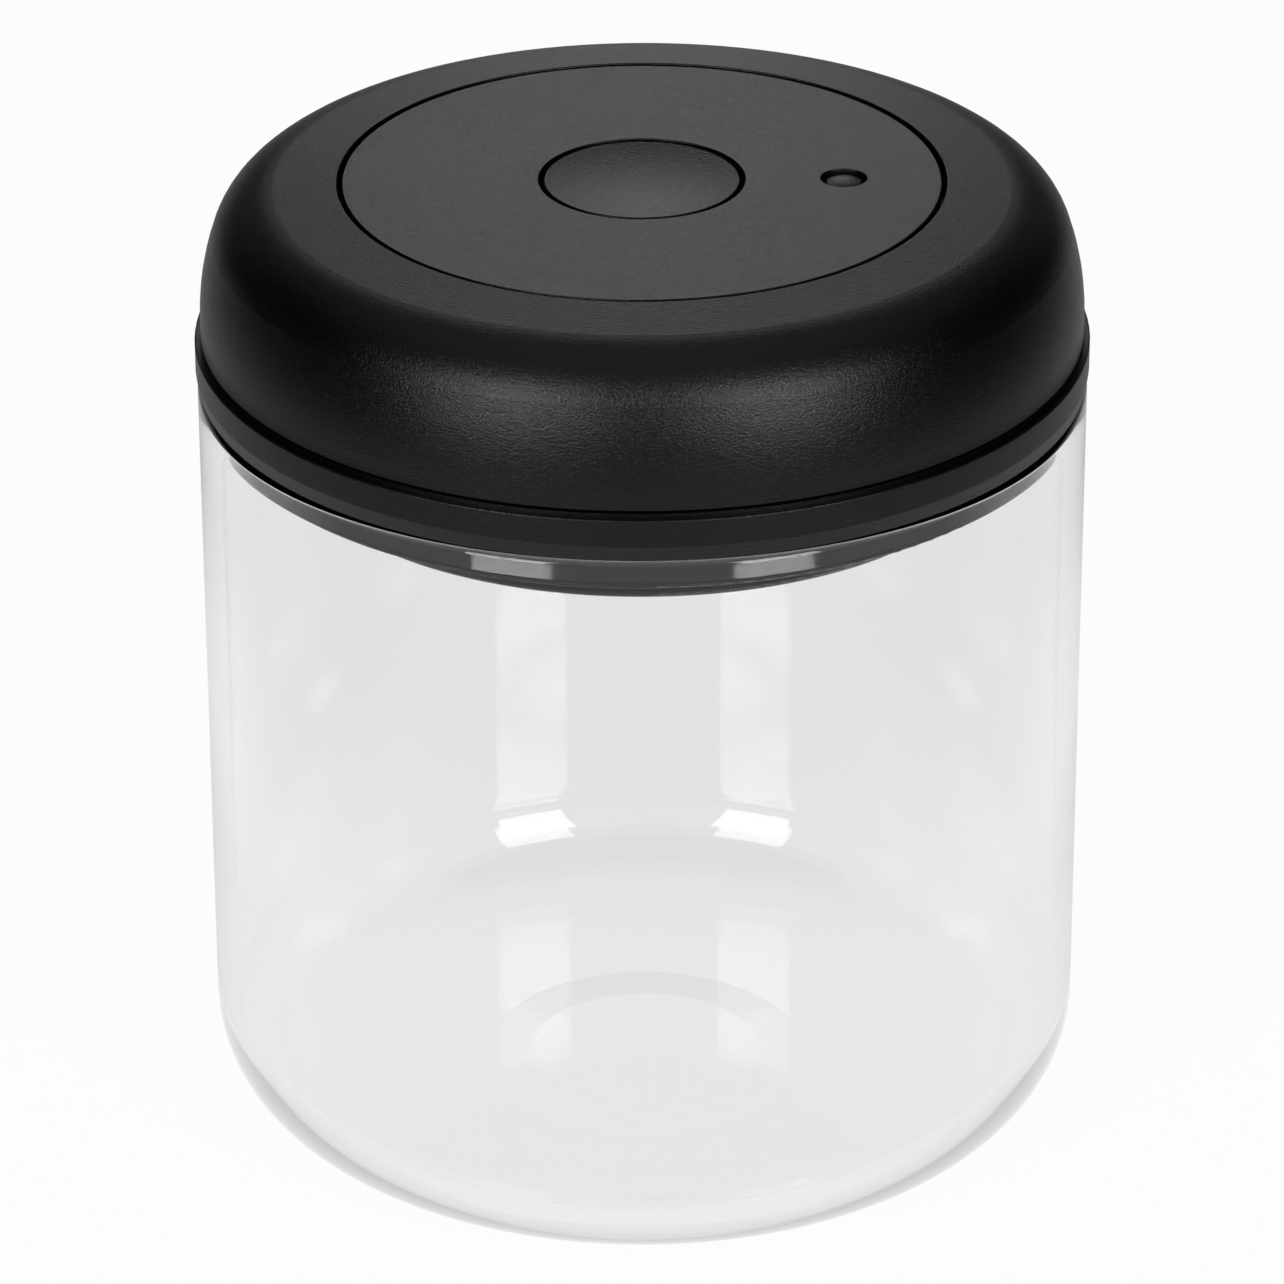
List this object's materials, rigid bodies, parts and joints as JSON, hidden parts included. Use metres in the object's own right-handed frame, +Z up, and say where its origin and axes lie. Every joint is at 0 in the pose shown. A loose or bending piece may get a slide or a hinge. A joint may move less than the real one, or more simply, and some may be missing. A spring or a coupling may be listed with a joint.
{
  "type": "vacuum seal canister",
  "caption": "Clear glass food canister with a domed lid that is twisted to pump the air out, a dished release button and a vacuum indicator pin.",
  "frame": {"origin": "middle of the foot, on the surface that the jar stands on", "axes": "+Z up along the axis of the jar, +X from the button to the indicator pin"},
  "size_m": [0.108, 0.108, 0.1219],
  "materials": {
    "clear_glass": "clear, polished, fire polished rim",
    "lid_plastic": "black, fine matt texture",
    "inner_plastic": "dark grey, as moulded",
    "cam_acetal": "natural white, smooth",
    "black_silicone": "black, glossy",
    "clear_silicone": "milky",
    "filter_felt": "pressed felt",
    "screw_steel": "plain",
    "spring_steel": "drawn wire",
    "green_band": "green, smooth"
  },
  "bodies": {
    "jar": {"glass_jar": "clear_glass"},
    "lid": {"lid_base": "lid_plastic", "jar_gasket": "black_silicone", "filter_cover": "lid_plastic", "inlet_filter": "filter_felt", "intake_valves": "clear_silicone", "retainer_plate": "inner_plastic", "retainer_screws": "screw_steel", "top_plate": "lid_plastic", "button_spring": "spring_steel", "indicator_spring": "spring_steel"},
    "ring": {"twist_ring": "lid_plastic", "cam_ring": "cam_acetal"},
    "piston": {"pump_piston": "inner_plastic", "follower_pins": "screw_steel", "piston_outer_seal": "black_silicone", "piston_inner_seal": "black_silicone", "exhaust_valves": "clear_silicone"},
    "button": {"release_button": "lid_plastic", "vent_stem": "inner_plastic", "vent_seal": "black_silicone"},
    "indicator": {"indicator_pin": "lid_plastic", "indicator_band": "green_band", "indicator_cup": "clear_silicone"}
  },
  "joints": [
    {"name": "lid_lift", "type": "slide", "parent": "jar", "child": "lid", "axis": [0, 0, 1], "range_m": [0, 0.15]},
    {"name": "ring_twist", "type": "hinge", "parent": "lid", "child": "ring", "pos_m": [0, 0, 0.11], "axis": [0, 0, 1], "range_deg": [0, 60]},
    {"name": "pump_stroke", "type": "slide", "parent": "lid", "child": "piston", "axis": [0, 0, 1], "range_m": [0, 0.0065]},
    {"name": "button_press", "type": "slide", "parent": "lid", "child": "button", "axis": [0, 0, -1], "range_m": [0, 0.003], "stiffness_N_per_m": 500, "springref_m": -0.004, "deforming": ["button_spring"]},
    {"name": "indicator_rise", "type": "slide", "parent": "lid", "child": "indicator", "axis": [0, 0, 1], "range_m": [0, 0.002], "deforming": ["indicator_spring"]}
  ],
  "couplings": [
    {"joint": "pump_stroke", "follows": "ring_twist", "m_per_rad": 0.006207}
  ]
}
